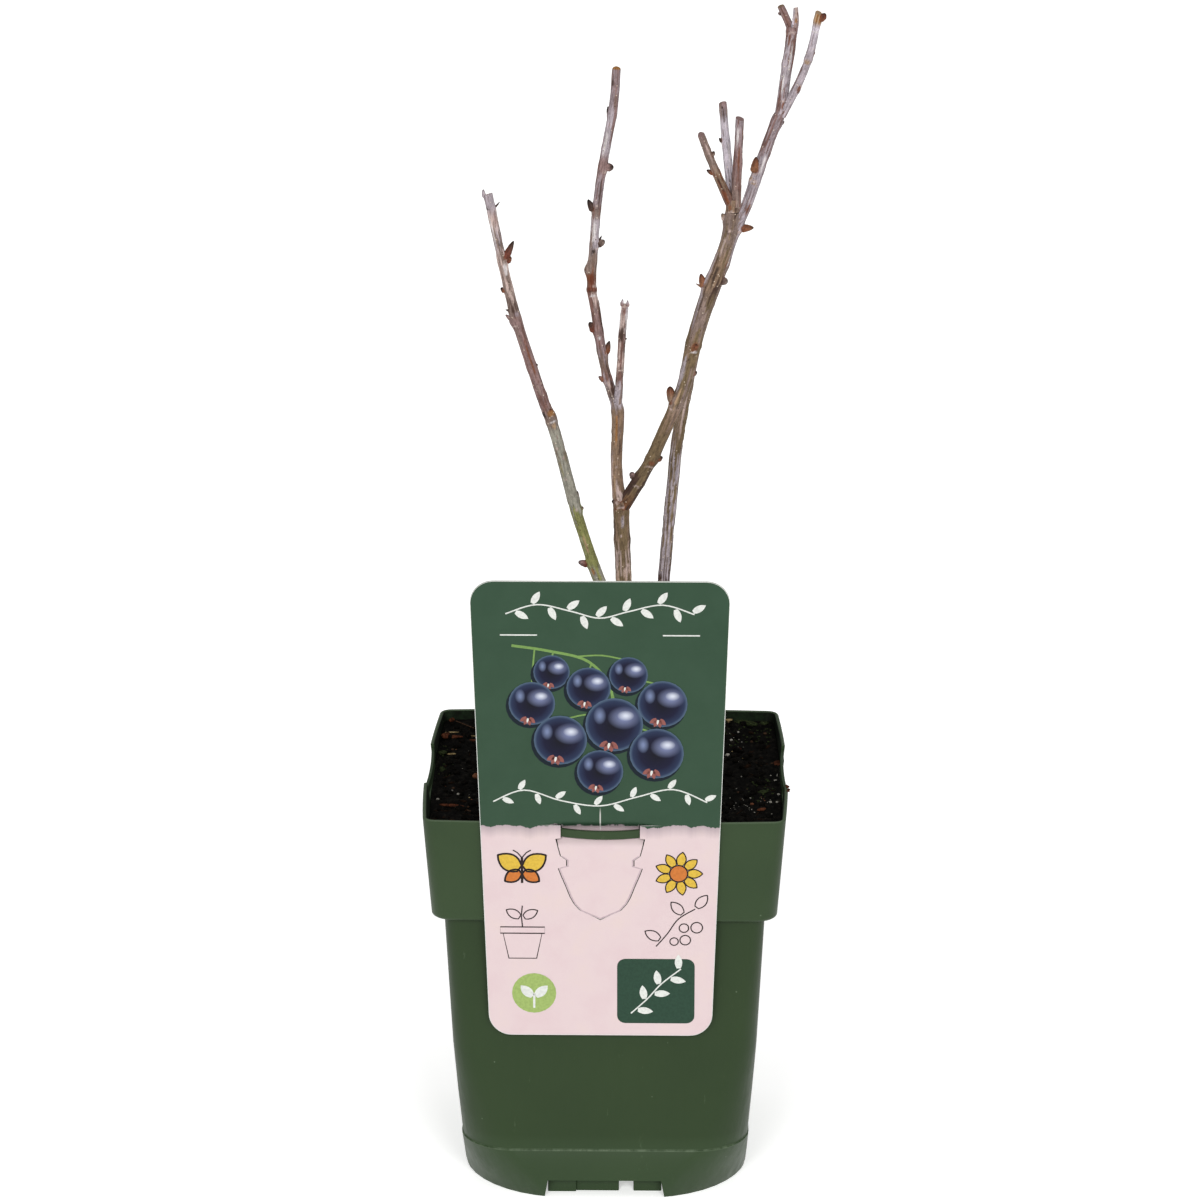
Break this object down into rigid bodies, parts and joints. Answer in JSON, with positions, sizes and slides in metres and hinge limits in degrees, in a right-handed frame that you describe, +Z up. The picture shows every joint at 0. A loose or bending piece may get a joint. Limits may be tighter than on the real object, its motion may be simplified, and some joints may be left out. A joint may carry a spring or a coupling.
{
  "type": "potted blackcurrant bush",
  "caption": "Leafless blackcurrant bush in winter, with pruned stems and buds, in a square nursery pot of compost with a plant card on its rim.",
  "frame": {"origin": "centre of the pot's foot, on the ground plane, at the flat pad under the floor", "axes": "+Z up along the pot's axis, -Y towards the side that carries the card, +X to the right when the card is faced"},
  "size_m": [0.1448, 0.1435, 0.4277],
  "materials": {
    "pot_plastic": "dark green moulded polypropylene, satin, slightly scuffed",
    "compost": "moist dark peat and bark compost with crumbs",
    "printed_card": "stiff card printed dark green above and pale pink below, semi-matt",
    "bark": "papery silver-grey bark peeling over reddish brown and olive",
    "twigs": "silver-grey to beige young bark with cut ends"
  },
  "bodies": {
    "root": {"pot": "pot_plastic", "compost": "compost", "plant_card": "printed_card", "main_stem": "bark", "left_bough": "bark", "centre_bough": "bark", "right_bough": "bark", "back_stem": "bark", "torn_twig": "twigs", "pruned_head_twigs": "twigs", "tall_top_twigs": "twigs"}
  },
  "joints": []
}
